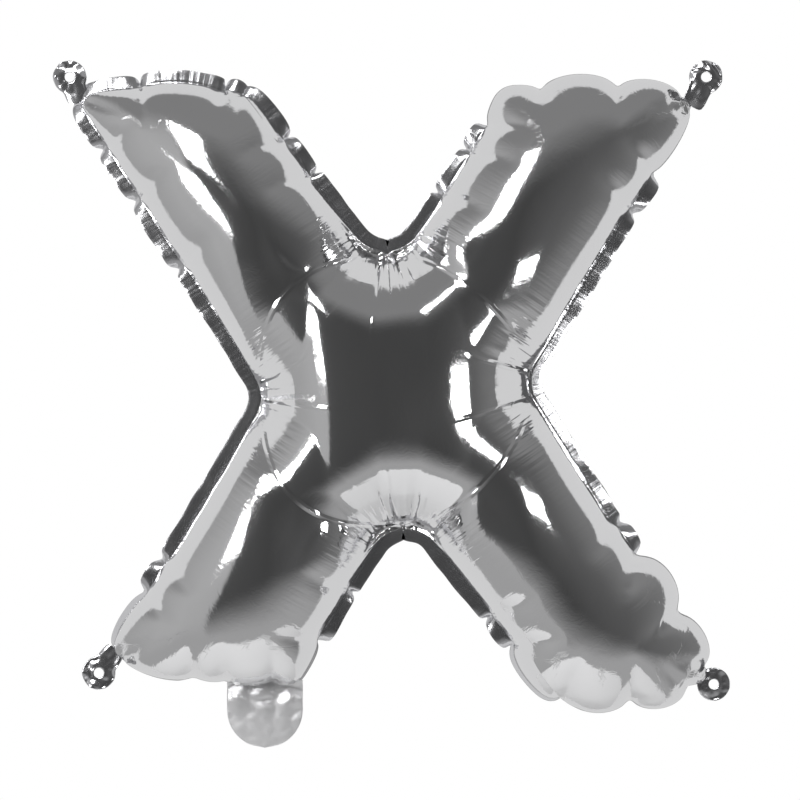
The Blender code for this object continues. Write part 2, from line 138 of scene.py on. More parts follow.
class OutlineSettings(bpy.types.PropertyGroup):
    """The blown-up balloon's outline, from the front, as places from the hub's centre."""

    hub: place_setting("Hub", "Centre of the hub", (0.0037, 0.0, -0.1659), subtype="TRANSLATION")
    notch_distance: length_setting("Notch Distance", "From the hub's centre to the bottom of each notch", 0.071)
    twist: angle_setting("Twist", "Turn of the four notches about the hub", 3.3)
    notch_radius: length_setting("Notch Radius", "Round at the bottom of each notch", 0.020)
    tip_radius: length_setting("Tip Radius", "Round at each arm's outer corner", 0.005)
    heel_radius: length_setting("Heel Radius", "Round at each arm's inner corner", 0.008)
    end_bow: length_setting("End Bow", "Bulge of each arm's end", 0.004)
    upper_left_tip: place_setting("Upper Left Tip", "Outer corner", (-0.1685, 0.1560))
    upper_left_heel: place_setting("Upper Left Heel", "Inner corner", (-0.0769, 0.1548))
    upper_right_tip: place_setting("Upper Right Tip", "Outer corner", (0.1590, 0.1537))
    upper_right_heel: place_setting("Upper Right Heel", "Inner corner", (0.0599, 0.1553))
    lower_right_tip: place_setting("Lower Right Tip", "Outer corner", (0.1680, -0.1537))
    lower_right_heel: place_setting("Lower Right Heel", "Inner corner", (0.0837, -0.1590))
    lower_left_tip: place_setting("Lower Left Tip", "Outer corner", (-0.1500, -0.1405))
    lower_left_heel: place_setting("Lower Left Heel", "Inner corner", (-0.0550, -0.1540))


class FilmSettings(bpy.types.PropertyGroup):
    """How the films are blown up, and where they crease."""

    cells: count_setting("Cells Across", "Cells of film across each arm", 60, 8)
    cap_length: length_setting("Cap Length", "Stretch of an arm over which its end rounds off", 0.030)
    fullness: number_setting("Fullness", "Depth of the blown-up films, 1 for a round tube", 0.96)
    rim: length_setting("Rim", "Height that the film gains in the steep rim beside each notch", 0.004)
    web_reach: length_setting("Web Reach", "How far outside the hub's ring the film is drawn in", 0.025)
    ring_bulge: place_setting(
        "Ring Bulge", "How far the creases round the hub bulge into the arms, anticlockwise",
        (-0.006, 0.004, 0.005, -0.005),
    )
    ring_depth: length_setting("Ring Depth", "Depth of the creases round the hub", 0.0002)
    ring_width: length_setting("Ring Width", "Reach of the creases round the hub", 0.0016)
    fold_reach: length_setting("Fold Reach", "Stretch beside each long fold that knows of it", 0.006)
    pleat_share: number_setting("Pleat Share", "Strength of the weld's pleats away from the notches", 0.3)
    pleat_reach: length_setting("Pleat Reach", "How far from each notch its pleats stay strong", 0.045)
    comb_gain: number_setting("Comb Gain", "How much stronger the long pleats are right beside a notch", 4.0)
    comb_reach: length_setting("Comb Reach", "How far from each notch its strongest pleats are", 0.032)
    pinch_depth: length_setting("Pinch Depth", "Depth of the crease inside each pinch of the weld", 0.0050)
    pinch_width: length_setting("Pinch Width", "Half width of the crease inside each pinch", 0.0040)
    pinch_length: length_setting("Pinch Length", "Length of the crease inside each pinch", 0.028)
    dent_depth: length_setting("Dent Depth", "Depth of the soft dents all over the film", 0.0006)
    dent_size: length_setting("Dent Size", "Size of the soft dents", 0.030)


class WeldSettings(bpy.types.PropertyGroup):
    """The flat margin outside the weld."""

    width: length_setting("Width", "Width of the margin", 0.0065)
    rows: count_setting("Rows", "Rows of cells across the margin", 2, 1)
    thickness: length_setting("Thickness", "Both films, welded", 0.0003)
    fold: angle_setting("Fold", "How far the margin folds behind the film where it is hidden", 115)
    pinch_reach: length_setting("Pinch Reach", "Stretch of margin that each pinch folds back", 0.010)
    pinch_width: number_setting("Pinch Width", "Share of the margin that shows at each pinch", 0.35)
    calm_reach: length_setting("Calm Reach", "Stretch of margin round each notch that stays flat", 0.045)
    ripple: length_setting("Ripple", "Height of the margin's ripples", 0.0012)
    ripple_length: length_setting("Ripple Length", "Length of the margin's ripples", 0.009)
    unevenness: number_setting("Unevenness", "Share by which the margin's width comes and goes", 0.12)
    uneven_length: length_setting("Uneven Length", "Stretch over which the margin's width changes", 0.011)


class TabSettings(bpy.types.PropertyGroup):
    """The holed tabs at the tips."""

    span: length_setting("Span", "Between the two upper holes", 0.3373)
    head_radius: length_setting("Head Radius", "Round head about the hole", 0.0088)
    hole_radius: length_setting("Hole Radius", "Punched hole", 0.0027)
    neck_half: length_setting("Neck Half Width", "Half the width of the tab's neck", 0.0060)
    overlap: length_setting("Overlap", "How far the tab's neck runs on past the arm's tip", 0.004)
    curl: length_setting("Curl", "Height of the tab's crumpled edge", 0.0040)
    crease_size: length_setting("Crease Size", "Size of the tab's creased facets", 0.010)
    lower_right_hole: place_setting("Lower Right Hole", "From the hub's centre", (0.1690, -0.1560))
    lower_left_hole: place_setting("Lower Left Hole", "From the hub's centre", (-0.1570, -0.1500))


class NeckSettings(bpy.types.PropertyGroup):
    """The flat filling neck under the lower left arm."""

    top: place_setting("Top", "Middle of the neck's root, from the hub's centre", (-0.0689, -0.1535))
    half_width: length_setting("Half Width", "Half the neck's width", 0.0200)
    length: length_setting("Length", "From the root to the round end", 0.0360)
    gap: length_setting("Gap", "From the middle of each film to the valve's plane", 0.0012)
    edge_gap: length_setting("Edge Gap", "The same at the neck's edges", 0.0002)
    crease_depth: length_setting("Crease Depth", "Height of the creases", 0.0030)
    crease_size: length_setting("Crease Size", "Size of the creased facets", 0.012)
    crease_reach: length_setting("Crease Reach", "Length of the crumpled part under the root", 0.014)
    calm_share: number_setting("Calm Share", "Height of the creases that go on below it", 0.2)
    valve_width: number_setting("Valve Width", "The valve's width as a share of the neck's", 0.5)
    valve_length: number_setting("Valve Length", "The valve's length as a share of the neck's", 0.6)


class FinishSettings(bpy.types.PropertyGroup):
    """Colours of the films."""

    film: colour_setting("Film", "Bright side of the film", (0.90, 0.90, 0.91, 1.0))
    weld: colour_setting("Weld", "Welded margin", (0.74, 0.74, 0.76, 1.0))
    tail: colour_setting("Tail", "Unwelded film of the neck", (0.92, 0.92, 0.93, 1.0))
    valve: colour_setting("Valve", "Plastic film of the valve", (0.86, 0.86, 0.86, 1.0))
    roughness: number_setting("Roughness", "Roughness of the bright film", 0.07)


class StageSettings(bpy.types.PropertyGroup):
    """Camera, lights and floor."""

    distance: length_setting("Distance", "From the camera to the balloon", 1.178)
    lens: number_setting("Lens", "Focal length in millimetres", 100.0)
    aim: place_setting("Aim", "Point in the middle of the picture", (0.0064, 0.0, -0.1712), subtype="TRANSLATION")
    floor_drop: length_setting("Floor Drop", "Floor below the line of the upper holes", 0.90)
    floor_radius: length_setting("Floor Radius", "Radius of the round floor", 0.45)
    floor: colour_setting("Floor", "Paint of the floor", (0.62, 0.62, 0.62, 1.0))


def settings():
    return bpy.context.scene.foil_balloon


# Outline

def unit(vector):
    return vector / np.linalg.norm(vector)


def corner_arc(before, corner, after, radius):
    """Points of the arc that rounds a corner, from the side of before to the side of after."""
    to_before, to_after = unit(before - corner), unit(after - corner)
    half = 0.5 * math.acos(float(np.clip(to_before @ to_after, -1, 1)))
    centre = corner + unit(to_before + to_after) * radius / math.sin(half)
    start = corner + to_before * radius / math.tan(half) - centre
    stop = corner + to_after * radius / math.tan(half) - centre
    first = math.atan2(start[1], start[0])
    turn = (math.atan2(stop[1], stop[0]) - first + math.pi) % (2 * math.pi) - math.pi
    angles = first + turn * np.linspace(0, 1, ARC_POINTS)
    return centre + radius * np.stack([np.cos(angles), np.sin(angles)], 1)


def notch_half(bottom, corner, other_corner, radius):
    """The half of a notch's arc on this arm's side, from the notch's bottom outwards."""
    towards = unit(corner - bottom) @ unit(other_corner - bottom)
    half = 0.5 * math.acos(float(towards))
    sharp = bottom - unit(bottom) * radius * (1 / math.sin(half) - 1)
    return corner_arc(corner, sharp, other_corner, radius)[ARC_POINTS // 2::-1]


def bowed_line(start, stop, bow):
    """Points between the two places, on a parabola that bulges away from the hub."""
    along = unit(stop - start)
    outward = np.array([-along[1], along[0]])
    if outward @ (start + stop) < 0:
        outward = -outward
    share = np.linspace(*BOW_SPAN, ARC_POINTS)[:, None]
    return start + (stop - start) * share + outward * 4 * bow * share * (1 - share)


def lobed(points, pinches, middle):
    """The polyline, finely divided, with half an ellipse's bulge on each stretch between two pinches."""
    points = resample(points, FINE_POINTS)
    run = run_of(points)
    marks = [run[np.argmin(np.linalg.norm(points - pinch[:2], axis=1))] for pinch in pinches]
    tangent = np.gradient(points, axis=0)
    normal = np.stack([-tangent[:, 1], tangent[:, 0]], 1)
    normal /= np.linalg.norm(normal, axis=1)[:, None]
    normal *= np.sign(np.sum(normal * (points - middle), 1))[:, None]
    bulge = np.zeros(len(points))
    for (_, _, rise, _), start, stop in zip(pinches, marks, marks[1:]):
        share = np.clip((run - start) / max(stop - start, TINY), 0, 1)
        bulge += rise * np.sqrt(np.clip(4 * share * (1 - share), 0, 1))
    return points + normal * bulge[:, None]


class Outline:
    """The outline's named places and the three curves that bound each arm."""

    def __init__(self, sizes):
        self.notch = {}
        for quarter, name in enumerate(NOTCHES):
            angle = sizes.twist + quarter * math.pi / 2
            self.notch[name] = sizes.notch_distance * np.array([math.cos(angle), math.sin(angle)])
        self.corner = {
            (arm, kind): np.array(getattr(sizes, f"{arm}_{kind}"))
            for arm in ARMS for kind in ("tip", "heel")
        }
        self.middle = {
            arm: ARM_MIDDLE * (self.corner[arm, "tip"] + self.corner[arm, "heel"]) / 2 for arm in ARMS
        }
        self.whole, self.curves = {}, {}
        for arm in ARMS:
            first, second, end = self.bound(arm, sizes)
            plain = np.concatenate([first, end[1:-1], second[::-1]])
            whole = lobed(plain, PINCHES[arm], self.middle[arm])
            total = run_of(plain)[-1]
            one = int(round(FINE_POINTS * run_of(first)[-1] / total))
            other = FINE_POINTS - int(round(FINE_POINTS * run_of(second)[-1] / total))
            self.whole[arm] = whole
            self.curves[arm] = whole[: one + 1], whole[: other - 1: -1], whole[one: other + 1]

    def bound(self, arm, sizes):
        """The arm's first side, second side and end, as points, before the weld is pinched."""
        radius = {"tip": sizes.tip_radius, "heel": sizes.heel_radius}
        kinds = [kind for _, kind in ARMS[arm]]
        corners = [self.corner[arm, kind] for kind in kinds]
        middle = 0.5 * (corners[0] + corners[1])
        middle = middle + unit(middle) * sizes.end_bow
        sides, arcs = [], []
        for (notch, kind), corner in zip(ARMS[arm], corners):
            other = self.corner[NEIGHBOURS[notch, arm], kind]
            root = notch_half(self.notch[notch], corner, other, sizes.notch_radius)
            arc = corner_arc(root[-1], corner, middle, radius[kind])
            sides.append(np.concatenate([root, arc[: ARC_POINTS // 2 + 1]]))
            arcs.append(arc[ARC_POINTS // 2:])
        bow = bowed_line(arcs[0][-1], arcs[1][-1], sizes.end_bow)
        return sides[0], sides[1], np.concatenate([arcs[0], bow, arcs[1][::-1]])


def run_of(points):
    """Distance along a polyline, at each of its points."""
    steps = np.linalg.norm(np.diff(points, axis=0), axis=1)
    return np.concatenate([[0.0], np.cumsum(steps)])


def resample(points, count):
    """The polyline as count equal steps."""
    run = run_of(points)
    places = np.linspace(0, run[-1], count + 1)
    return np.stack([np.interp(places, run, points[:, axis]) for axis in (0, 1)], 1)


def place_at(points, shares):
    """Places at the given shares of an evenly divided polyline."""
    spots = np.asarray(shares) * (len(points) - 1)
    return np.stack([np.interp(spots, np.arange(len(points)), points[:, axis]) for axis in (0, 1)], 1)


# Plan of the films

def arc_shares(cells):
    """Shares across a tube that are even steps round its skin."""
    return 0.5 - 0.5 * np.cos(math.pi * np.arange(cells + 1) / cells)


def hub_grid(outline, cells):
    """Places of the hub's film, a square patch whose corners are the notches."""
    share = arc_shares(cells)
    across, down = (grid[..., None] for grid in np.meshgrid(share, share))
    upper = (1 - across) * outline.notch["left"] + across * outline.notch["top"]
    lower = (1 - across) * outline.notch["bottom"] + across * outline.notch["right"]
    return (1 - down) * upper + down * lower


def arm_grid(curves, cells, cap_length):
    """Places of an arm's film: rows across, from its root to its end, closer where the end rounds off."""
    first, second, end = curves
    length = 0.5 * (run_of(first)[-1] + run_of(second)[-1])
    cell = np.linalg.norm(first[0] - second[0]) / cells * math.pi / 2
    cap_rows = int(round(0.5 * math.pi * cap_length / cell))
    straight = np.linspace(0, length - cap_length, int(round((length - cap_length) / cell)), endpoint=False)
    cap = length - cap_length * (1 - np.sin(0.5 * math.pi * np.arange(cap_rows + 1) / cap_rows))
    along = np.concatenate([straight, cap]) / length
    first, second = place_at(first, along), place_at(second, along)
    share = arc_shares(cells)
    end = place_at(end, share)
    across, along = share[None, :, None], along[:, None, None]
    root = first[0] + (second[0] - first[0]) * across
    sides = (1 - across) * first[:, None] + across * second[:, None]
    ends = (1 - along) * root + along * end[None]
    corners = (1 - along) * root + along * (first[-1] + (second[-1] - first[-1]) * across)
    return sides + ends - corners


class Envelope:
    """The films' plan as one mesh that both share: places, faces, sheets of point numbers and the seam."""

    def __init__(self, outline, film, cells):
        plan, faces = [], []
        self.sheets = {}
        patch = self.number("hub", hub_grid(outline, cells), None, plan)
        faces.append(quads_of(patch)[:, ::-1])
        roots = {
            "upper_left": patch[0, :], "upper_right": patch[:, cells],
            "lower_right": patch[cells, ::-1], "lower_left": patch[::-1, 0],
        }
        for arm, curves in outline.curves.items():
            sheet = self.number(arm, arm_grid(curves, cells, film.cap_length), roots[arm], plan)
            faces.append(quads_of(sheet))
        self.plan = np.array(plan)
        self.faces = np.concatenate(faces)
        loop, owner = [], []
        for arm in ARMS:
            sheet = self.sheets[arm]
            part = list(sheet[:-1, 0]) + list(sheet[-1, :-1]) + list(sheet[:0:-1, -1])
            loop += part
            owner += [arm] * len(part)
        self.loop, self.owner = np.array(loop), np.array(owner)

    def number(self, name, grid, root, plan):
        """Numbers a grid's points, the first row by the hub's numbers where root gives them."""
        count = grid.shape[0] * grid.shape[1]
        if root is None:
            numbers = len(plan) + np.arange(count).reshape(grid.shape[:2])
            plan += grid.reshape(-1, 2).tolist()
        else:
            count -= grid.shape[1]
            numbers = np.concatenate([root, len(plan) + np.arange(count)]).reshape(grid.shape[:2])
            plan += grid[1:].reshape(-1, 2).tolist()
        self.sheets[name] = numbers
        return numbers


def quads_of(numbers):
    """The faces of a grid of point numbers."""
    corners = [numbers[:-1, :-1], numbers[:-1, 1:], numbers[1:, 1:], numbers[1:, :-1]]
    return np.stack(corners, -1).reshape(-1, 4)


# Inflation

# When the solver stops: after so many steps, or at this share of its first error
SOLVER_STEPS = 1200
SOLVER_END = 1e-7
LEAST_AREA = 1e-15


def membrane(plan, quads, fixed):
    """Rise of a skin under even pressure, held down at the fixed points, by conjugate gradients."""
    triangles = np.concatenate([quads[:, [0, 1, 2]], quads[:, [0, 2, 3]]])
    area = np.zeros(len(plan))
    pairs, weights = [], []
    for first, second, third in ((0, 1, 2), (1, 2, 0), (2, 0, 1)):
        tip = plan[triangles[:, third]]
        one, other = plan[triangles[:, first]] - tip, plan[triangles[:, second]] - tip
        twice = np.abs(one[:, 0] * other[:, 1] - one[:, 1] * other[:, 0]) + LEAST_AREA
        pairs.append(triangles[:, [first, second]])
        weights.append(0.5 * np.sum(one * other, 1) / twice)
        area += np.bincount(triangles[:, third], twice / 6, len(plan))
    pairs, weights = np.concatenate(pairs), np.concatenate(weights)
    low, high = pairs.T
    total = np.bincount(low, weights, len(plan)) + np.bincount(high, weights, len(plan))
    free = np.ones(len(plan), bool)
    free[fixed] = False

    def pull(rise):
        lost = np.bincount(low, weights * rise[high], len(plan))
        lost += np.bincount(high, weights * rise[low], len(plan))
        return np.where(free, total * rise - lost, 0.0)

    rise = np.zeros(len(plan))
    rest = np.where(free, area, 0.0)
    eased = rest / total
    heading, power = eased.copy(), rest @ eased
    goal = SOLVER_END * power
    for _ in range(SOLVER_STEPS):
        pulled = pull(heading)
        step = power / (heading @ pulled)
        rise += step * heading
        rest -= step * pulled
        eased = rest / total
        power, before = rest @ eased, power
        if power < goal:
            break
        heading = eased + power / before * heading
    return np.maximum(rise, 0.0)


def lesser(one, other, sharpness):
    """The smaller of two heights, with the change from one to the other rounded off."""
    one, other = np.maximum(one, TINY), np.maximum(other, TINY)
    return one * (1 + (one / other) ** sharpness) ** (-1 / sharpness)


# Drawn-in hub and creases

# How the film is drawn in at each notch: the slope beside the weld, and for each flat facet between its
# folds the turn from the notch's own direction in degrees and the depth that it nears
FACETS = {
    "right": (1.45, ((-35, 0.050), (0, 0.056), (35, 0.050))),
    "top": (1.36, ((-53, 0.050), (-24, 0.056), (2, 0.056), (30, 0.056), (57, 0.050))),
    "left": (1.40, ((-38, 0.046), (2, 0.056), (38, 0.0445))),
    "bottom": (1.38, ((-56, 0.050), (-24, 0.056), (0, 0.056), (24, 0.056), (54, 0.050))),
}
# How sharply a facet's slope turns level, one notch's facets meet another's, and the hub meets the arms
SLOPE_SHARPNESS = 6
NOTCH_SHARPNESS = 8
ARM_SHARPNESS = 4
# Shares of the distance outside the ring, and of its growing slack, by which the facets give way to the arms
NOTCH_SLACK = 0.1
ARM_SLACK = 0.5
# Depth of film at which its creases and dents have their full depth
FULL_DEPTH = 0.010
# Shares of their reach over which the pleats and the combs keep their full strength before they fade
PLEAT_HOLD = 0.3
COMB_HOLD = 0.5
# A long fold fades along its length from its start in the notch, later the more this is over 1
FOLD_HOLD = 1.2
# Length over which a fold breaks off at its end
FOLD_END = 0.003
# How far outside the weld a pinch's crease starts
PINCH_START = 0.004
# Points of the weld on each side of a pinch that give the weld's direction there
PINCH_POINTS = 12


def notch_web(plan, outline, name, radius, narrowing, slack, rim):
    """Depth to which the film beside a notch is drawn in: flat facets that flatten out over the hub."""
    bottom = outline.notch[name]
    inward = math.atan2(-bottom[1], -bottom[0])
    slope, facets = FACETS[name]
    away = plan - bottom * (1 + radius / np.linalg.norm(bottom))
    web = np.zeros(len(plan))
    for turn, limit in facets:
        angle = inward + math.radians(turn)
        off = np.maximum(away @ np.array([math.cos(angle), math.sin(angle)]) - radius, 0.0)
        off = off * narrowing + slack
        rise = slope * off + rim * (1 - np.exp(-off / rim))
        web = np.maximum(web, lesser(rise, limit, SLOPE_SHARPNESS))
    return web


def outside_ring(plan, outline, film, twist):
    """Distance outwards from the crease round the hub, less than nothing inside it."""
    angle = np.arctan2(plan[:, 1], plan[:, 0]) - twist
    quarter = np.floor(angle / (0.5 * math.pi)).astype(int) % 4
    bulge = np.array([film.ring_bulge[number] for number in range(4)])[quarter]
    ring = np.linalg.norm(outline.notch["top"]) + bulge * np.sin(2 * angle) ** 2
    return np.linalg.norm(plan, axis=1) - ring


def blown_up(envelope, outline, film, notch_radius, twist):
    """Depth of the film at each point of the plan: a round tube's along the arms, drawn in at the notches."""
    plan = envelope.plan
    depth = film.fullness * np.sqrt(2 * membrane(plan, envelope.faces, envelope.loop))
    outside = np.maximum(outside_ring(plan, outline, film, twist), 0.0)
    narrowing = 1 + outside / film.web_reach
    slack = outside ** 2 / film.web_reach
    web = np.full(len(plan), 1.0)
    for name in FACETS:
        drawn_in = notch_web(plan, outline, name, notch_radius, narrowing, NOTCH_SLACK * outside, film.rim)
        web = lesser(web, drawn_in, NOTCH_SHARPNESS)
    return lesser(depth, web + ARM_SLACK * slack, ARM_SHARPNESS)


def off_folds(plan, film):
    """For each point, how far it is to the side of the nearest long fold, and how strong the fold is there."""
    side, strength = np.full(len(plan), 1.0), np.zeros(len(plan))
    for fold in FOLDS:
        fold = np.array(fold)
        length = run_of(fold)
        for start, stop, run in zip(fold, fold[1:], length):
            along = unit(stop - start)
            away = plan - start
            ahead, aside = away @ along, away @ np.array([-along[1], along[0]])
            beyond = np.maximum(0, np.maximum(-ahead, ahead - np.linalg.norm(stop - start)))
            nearer = np.hypot(aside, beyond) < np.abs(side)
            side[nearer] = aside[nearer]
            fade = smooth(FOLD_HOLD * (1 - (run + ahead) / length[-1])) * (1 - smooth(beyond / FOLD_END))
            strength[nearer] = fade[nearer]
    return side, strength * (np.abs(side) < film.fold_reach)


def off_notches(plan, outline):
    """Distance from each point to the bottom of the nearest notch."""
    notches = np.stack(list(outline.notch.values()))
    return np.linalg.norm(plan[:, None] - notches[None], axis=2).min(1)


def pleat_strength(plan, outline, film):
    """How strong the weld's long pleats are at each point: they are weak away from the notches."""
    off = off_notches(plan, outline)
    near = smooth(1 + PLEAT_HOLD - off / film.pleat_reach)
    comb = film.comb_gain * smooth(1 + COMB_HOLD - off / film.comb_reach)
    return film.pleat_share + (1 - film.pleat_share) * near + comb


def ring_creases(plan, outline, film, twist):
    """Depth of the creases that run from notch to notch round the hub."""
    return film.ring_depth * np.exp(-np.abs(outside_ring(plan, outline, film, twist)) / film.ring_width)


def pinch_creases(plan, outline, film):
    """Depth of the creases that run inwards from each pinch of the weld."""
    depth = np.zeros(len(plan))
    for arm, curve in outline.whole.items():
        for pinch in PINCHES[arm]:
            spot = int(np.argmin(np.linalg.norm(curve - pinch[:2], axis=1)))
            root = curve[spot]
            after, before = min(spot + PINCH_POINTS, len(curve) - 1), max(spot - PINCH_POINTS, 0)
            along = unit(curve[after] - curve[before])
            inward = np.array([-along[1], along[0]])
            if inward @ (outline.middle[arm] - root) < 0:
                inward = -inward
            away = plan - root
            ahead, aside = away @ inward, away @ along
            fade = smooth(1 - ahead / film.pinch_length) * (ahead > -PINCH_START)
            crease = film.pinch_depth * np.exp(-np.abs(aside) / film.pinch_width) * fade
            depth = np.maximum(depth, crease)
    return depth


def dents(plan, size, seed):
    """Soft dents all over, between about -1 and 1."""
    return np.array([noise.noise(Vector((x / size, z / size, seed))) for x, z in plan])


def smooth(share):
    """The share from 0 to 1 with both ends eased."""
    share = np.clip(share, 0, 1)
    return share * share * (3 - 2 * share)


# Materials

FLOAT, COLOUR = "NodeSocketFloat", "NodeSocketColor"
# The kind of socket that a group's input gets from its default
SOCKETS = {type(None): "NodeSocketVector", float: FLOAT, tuple: COLOUR}

# Values of each film's material, by the names of the groups' inputs
MIRROR_FILM = {
    "tone": {"Spread": 0.03},
    "wrinkles": {"Dent Scale": 38.0, "Dent Depth": 0.35, "Crease Scale": 130.0, "Crease Depth": 0.12},
    "puckers": {"Spacing": 0.0026, "Reach": 0.0045, "Depth": 0.9},
}
WELDED_FILM = {
    "tone": {"Roughness": 0.16, "Spread": 0.10},
    "wrinkles": {"Dent Scale": 60.0, "Dent Depth": 0.6, "Crease Scale": 240.0, "Crease Depth": 0.08},
    "puckers": {"Spacing": 0.0024, "Reach": 0.02, "Depth": 0.35},
}
SATIN_FILM = {
    "tone": {"Roughness": 0.38, "Spread": 0.12},
    "wrinkles": {"Dent Scale": 45.0, "Dent Depth": 0.8, "Crease Scale": 120.0, "Crease Depth": 0.25},
    "puckers": {"Spacing": 0.002, "Reach": 0.01, "Depth": 0.3},
}
SATIN_METALLIC = 0.6
FILM_BUMP = 0.0006
VALVE_BUMP = 0.0004
VALVE_ROUGHNESS = 0.30


def put(tree, kind, inputs=(), **values):
    """Adds a node, sets its properties, and fills or links its inputs."""
    node = tree.nodes.new(kind)
    for key, value in values.items():
        setattr(node, key, value)
    for key, value in dict(inputs).items():
        if isinstance(value, bpy.types.NodeSocket):
            tree.links.new(value, node.inputs[key])
        else:
            node.inputs[key].default_value = value
    return node


def math_node(tree, operation, *values):
    return put(tree, "ShaderNodeMath", dict(enumerate(values)), operation=operation).outputs[0]


def product(tree, first, *others):
    """Nodes that multiply the values."""
    for other in others:
        first = math_node(tree, "MULTIPLY", first, other)
    return first


def shader_group(name, inputs, outputs, fill):
    """The node group of that name, made the first time with these sockets. Fill returns what its outputs give."""
    if name in bpy.data.node_groups:
        return bpy.data.node_groups[name]
    tree = bpy.data.node_groups.new(name, "ShaderNodeTree")
    for label, default in inputs.items():
        socket = tree.interface.new_socket(label, in_out="INPUT", socket_type=SOCKETS[type(default)])
        if default is not None:
            socket.default_value = default
    for label, kind in outputs.items():
        tree.interface.new_socket(label, in_out="OUTPUT", socket_type=kind)
    given, out = tree.nodes.new("NodeGroupInput"), tree.nodes.new("NodeGroupOutput")
    for label, result in zip(outputs, fill(tree, given.outputs)):
        tree.links.new(result, out.inputs[label])
    return tree


def foil_wrinkles():
    """Group: soft dents and sharp fine creases of handled film, as a height."""

    def fill(tree, given):
        dents = put(tree, "ShaderNodeTexNoise", {
            "Vector": given["Vector"], "Scale": given["Dent Scale"], "Detail": 2.0, "Roughness": 0.5,
        })
        creases = put(tree, "ShaderNodeTexNoise", {
            "Vector": given["Vector"], "Scale": given["Crease Scale"],
            "Detail": 3.0, "Roughness": 0.6, "Distortion": 1.2,
        })
        ridge = math_node(tree, "ABSOLUTE", math_node(tree, "SUBTRACT", creases.outputs[0], 0.5))
        soft = product(tree, dents.outputs[0], given["Dent Depth"])
        sharp = product(tree, ridge, given["Crease Depth"])
        return [math_node(tree, "ADD", soft, sharp)]

    sockets = {"Vector": None, "Dent Scale": 45.0, "Dent Depth": 1.0, "Crease Scale": 160.0, "Crease Depth": 0.3}
    return shader_group("Foil wrinkles", sockets, {"Height": FLOAT}, fill)


def foil_tone():
    """Group: slight clouding of the metal layer, as a colour and a roughness."""

    def fill(tree, given):
        cloud = put(tree, "ShaderNodeTexNoise", {
            "Vector": given["Vector"], "Scale": given["Scale"], "Detail": 4.0,
        }).outputs[0]
        keep = math_node(tree, "SUBTRACT", 1.0, product(tree, cloud, given["Clouding"]))
        tint = put(tree, "ShaderNodeVectorMath", {0: given["Color"], "Scale": keep}, operation="SCALE")
        rough = math_node(tree, "ADD", given["Roughness"], product(tree, cloud, given["Spread"]))
        return [tint.outputs[0], rough]

    sockets = {
        "Vector": None, "Color": (0.9, 0.9, 0.9, 1.0), "Clouding": 0.04,
        "Roughness": 0.08, "Spread": 0.04, "Scale": 30.0,
    }
    return shader_group("Foil tone", sockets, {"Color": COLOUR, "Roughness": FLOAT}, fill)


def seam_ribs(tree, given, stretch):
    """Ribs square to the weld, and the distance off it in reaches. Stretch is how fast they change on the way off."""
    parts = put(tree, "ShaderNodeSeparateXYZ", {0: given["Seam"]})
    run = math_node(tree, "DIVIDE", parts.outputs[0], given["Spacing"])
    off = math_node(tree, "DIVIDE", parts.outputs[1], given["Reach"])
    place = put(tree, "ShaderNodeCombineXYZ", {0: run, 1: product(tree, off, stretch)})
    ribs = put(tree, "ShaderNodeTexNoise", {
        "Vector": place.outputs[0], "Scale": 1.0, "Detail": 1.0, "Roughness": 0.4,
    })
    return product(tree, ribs.outputs[0], given["Depth"]), off


def seam_puckers():
    """Group: fine ribs square to the weld that die out away from it, as a height."""

    def fill(tree, given):
        ribs, off = seam_ribs(tree, given, 0.35)
        fade = math_node(tree, "EXPONENT", product(tree, math_node(tree, "ABSOLUTE", off), -1.0))
        return [product(tree, ribs, fade)]

    sockets = {"Seam": None, "Spacing": 0.0024, "Reach": 0.006, "Depth": 1.0}
    return shader_group("Seam puckers", sockets, {"Height": FLOAT}, fill)


def long_pleats():
    """Group: long pleats square to the weld, strongest some way off it, as a height."""

    def fill(tree, given):
        ribs, off = seam_ribs(tree, given, 0.5)
        fade = product(tree, off, math_node(tree, "EXPONENT", math_node(tree, "SUBTRACT", 1.0, off)))
        end = put(tree, "ShaderNodeMapRange", {0: off, 1: 1.4, 2: 2.2, 3: 1.0, 4: 0.0}).outputs[0]
        return [product(tree, ribs, given["Strength"], product(tree, fade, end))]

    sockets = {"Seam": None, "Strength": 1.0, "Spacing": 0.0021, "Reach": 0.014, "Depth": 0.5}
    return shader_group("Long pleats", sockets, {"Height": FLOAT}, fill)


def film_folds():
    """Group: long narrow folds as ridges, the ring of them round the hub and those across it, as a height."""

    def fill(tree, given):
        uneven = put(tree, "ShaderNodeTexNoise", {"Vector": given["Vector"], "Scale": 38.0, "Detail": 1.0})
        share = put(tree, "ShaderNodeMapRange", {0: uneven.outputs[0], 1: 0.38, 2: 0.62}).outputs[0]
        ridges = []
        for label in ("Ring", "Fold"):
            parts = put(tree, "ShaderNodeSeparateXYZ", {0: given[label]})
            off = math_node(tree, "DIVIDE", math_node(tree, "ABSOLUTE", parts.outputs[0]), given["Width"])
            ridge = math_node(tree, "MAXIMUM", math_node(tree, "SUBTRACT", 1.0, off), 0.0)
            strength = share if label == "Ring" else parts.outputs[1]
            ridges.append(product(tree, ridge, given[label + " Depth"], strength))
        return [math_node(tree, "ADD", *ridges)]

    sockets = {
        "Vector": None, "Ring": None, "Fold": None, "Width": 0.0016, "Ring Depth": 0.9, "Fold Depth": 1.3,
    }
    return shader_group("Film folds", sockets, {"Height": FLOAT}, fill)


